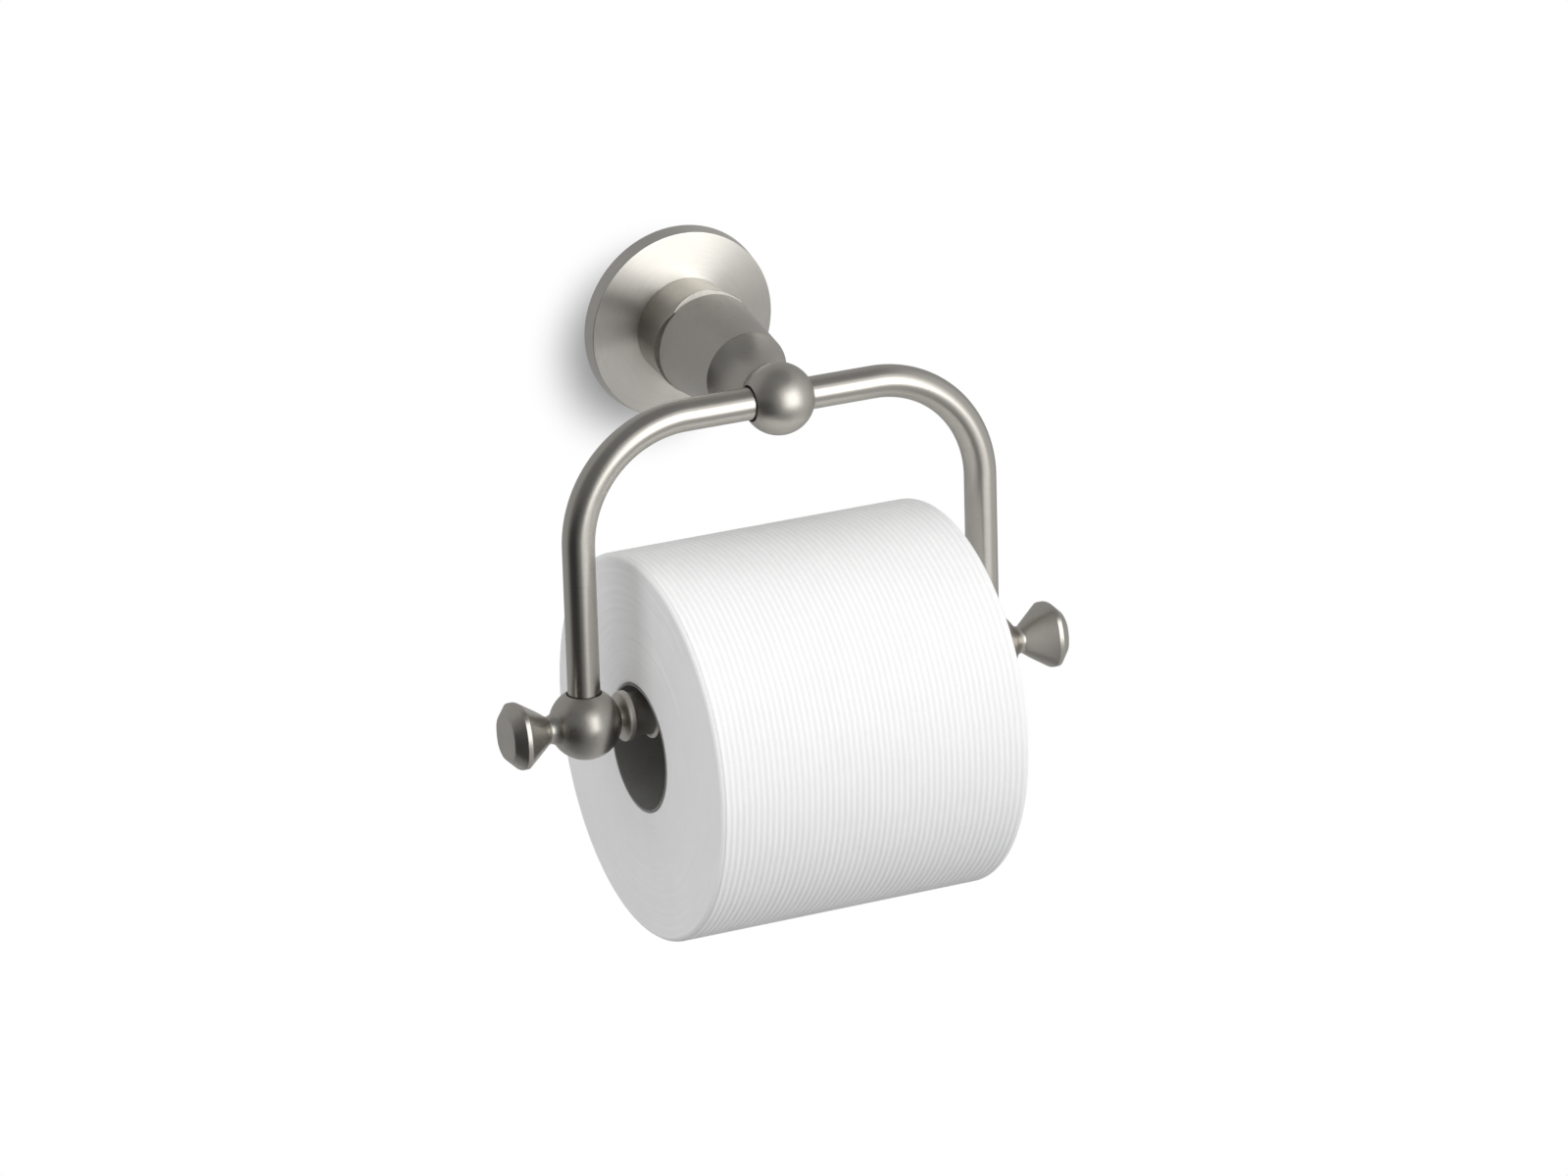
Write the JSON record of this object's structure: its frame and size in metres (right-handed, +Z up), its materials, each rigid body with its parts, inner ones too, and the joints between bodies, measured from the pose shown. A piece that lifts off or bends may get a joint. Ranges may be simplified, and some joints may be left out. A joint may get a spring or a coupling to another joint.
{
  "type": "paper towel holder",
  "caption": "Wall-mounted paper towel holder: a post carries a swinging tube bail with a sprung roller between ball ends, holding a full roll.",
  "frame": {"origin": "centre of the flange on the wall plane", "axes": "+Y into the wall, -Y into the room, +Z up, +X along the roller"},
  "size_m": [0.2084, 0.1885, 0.2144],
  "materials": {
    "brushed_nickel": "satin nickel plate, brushed round the axis of each turned piece",
    "roller_nickel": "satin nickel plate",
    "zinc_steel": "bright zinc plate",
    "spring_steel": "drawn wire",
    "black_steel": "black oxide",
    "bush_nylon": "matt black nylon",
    "cardboard": "grey-brown wound board",
    "paper": "embossed tissue paper"
  },
  "bodies": {
    "mount": {"wall_plate": "zinc_steel", "wall_screws": "zinc_steel", "flange": "brushed_nickel", "collar": "brushed_nickel", "grub_screw": "black_steel", "post": "brushed_nickel", "post_stud": "zinc_steel", "stud_nut": "zinc_steel", "stud_washer": "zinc_steel", "pivot_ball": "brushed_nickel", "pivot_bush_left": "bush_nylon", "pivot_bush_right": "bush_nylon"},
    "bail": {"bail_tube": "brushed_nickel", "left_finial": "brushed_nickel", "right_finial": "brushed_nickel", "leg_pins": "black_steel"},
    "roller": {"roller_cap_left": "roller_nickel", "roller_outer_sleeve": "roller_nickel", "roller_spring": "spring_steel"},
    "roller_end": {"roller_cap_right": "roller_nickel", "roller_inner_sleeve": "roller_nickel"},
    "roll": {"roll_core": "cardboard", "paper_roll": "paper"}
  },
  "joints": [
    {"name": "bail_swing", "type": "hinge", "parent": "mount", "child": "bail", "pos_m": [0, -0.0817, 0], "axis": [1, 0, 0], "range_deg": [-180, 12]},
    {"name": "roller_spin", "type": "hinge", "parent": "bail", "child": "roller", "pos_m": [0, -0.08821, -0.10199], "axis": [1, 0, 0], "continuous": true},
    {"name": "roller_telescope", "type": "slide", "parent": "roller", "child": "roller_end", "axis": [1, 0, 0], "range_m": [-0.008, 0], "stiffness_N_per_m": 600, "springref_m": 0.012, "deforming": ["roller_spring"]},
    {"name": "roll_spin", "type": "hinge", "parent": "bail", "child": "roll", "pos_m": [0, -0.09175, -0.11314], "axis": [1, 0, 0], "continuous": true}
  ]
}
